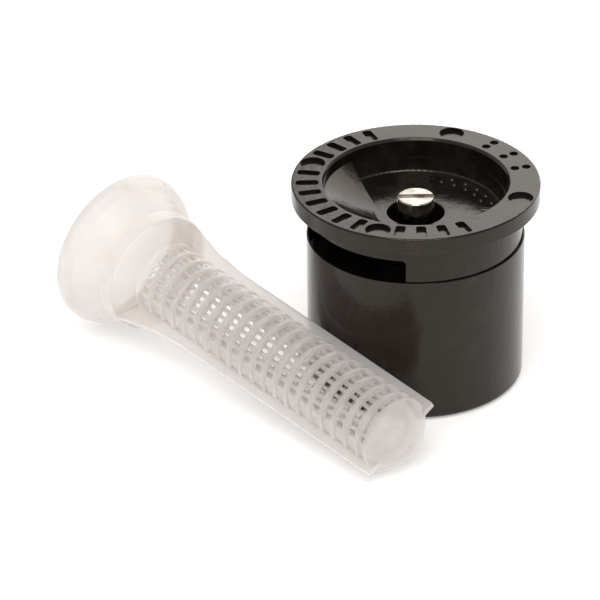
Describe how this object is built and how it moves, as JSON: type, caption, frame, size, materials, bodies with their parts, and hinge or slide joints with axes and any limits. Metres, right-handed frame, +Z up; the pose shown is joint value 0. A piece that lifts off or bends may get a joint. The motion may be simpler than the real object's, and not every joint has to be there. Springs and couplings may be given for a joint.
{
  "type": "spray nozzle with filter screen",
  "caption": "Screw-on spray nozzle for a pop-up sprinkler, with a slotted throttle screw and a loose basket filter screen.",
  "frame": {"origin": "on the nozzle's axis, in the plane of its open threaded base, which it stands on", "axes": "+Z up along the nozzle's axis, +X level along the filter screen from its mouth to its closed end"},
  "size_m": [0.0413, 0.0336, 0.0196],
  "materials": {
    "black_plastic": "moulded gloss",
    "stainless": "turned",
    "plug_plastic": "moulded",
    "screen_plastic": "translucent moulded"
  },
  "bodies": {
    "nozzle": {"nozzle_body": "black_plastic", "deflector_cap": "black_plastic"},
    "throttle": {"throttle_plug": "plug_plastic"},
    "screw": {"adjusting_screw": "stainless"},
    "screen": {"filter_screen": "screen_plastic"}
  },
  "joints": [
    {"name": "throttle_travel", "type": "slide", "parent": "nozzle", "child": "throttle", "axis": [0, 0, 1], "range_m": [-0.0015, 0.00063]},
    {"name": "screw_turn", "type": "hinge", "parent": "throttle", "child": "screw", "pos_m": [0, 0, 0.01794], "axis": [0, 0, 1], "range_deg": [-1080, 450]},
    {"name": "screen_slide", "type": "slide", "parent": "nozzle", "child": "screen", "axis": [-1, 0, 0], "range_m": [0, 0.03]}
  ],
  "couplings": [
    {"joint": "screw_turn", "follows": "throttle_travel", "rad_per_m": 12566}
  ]
}
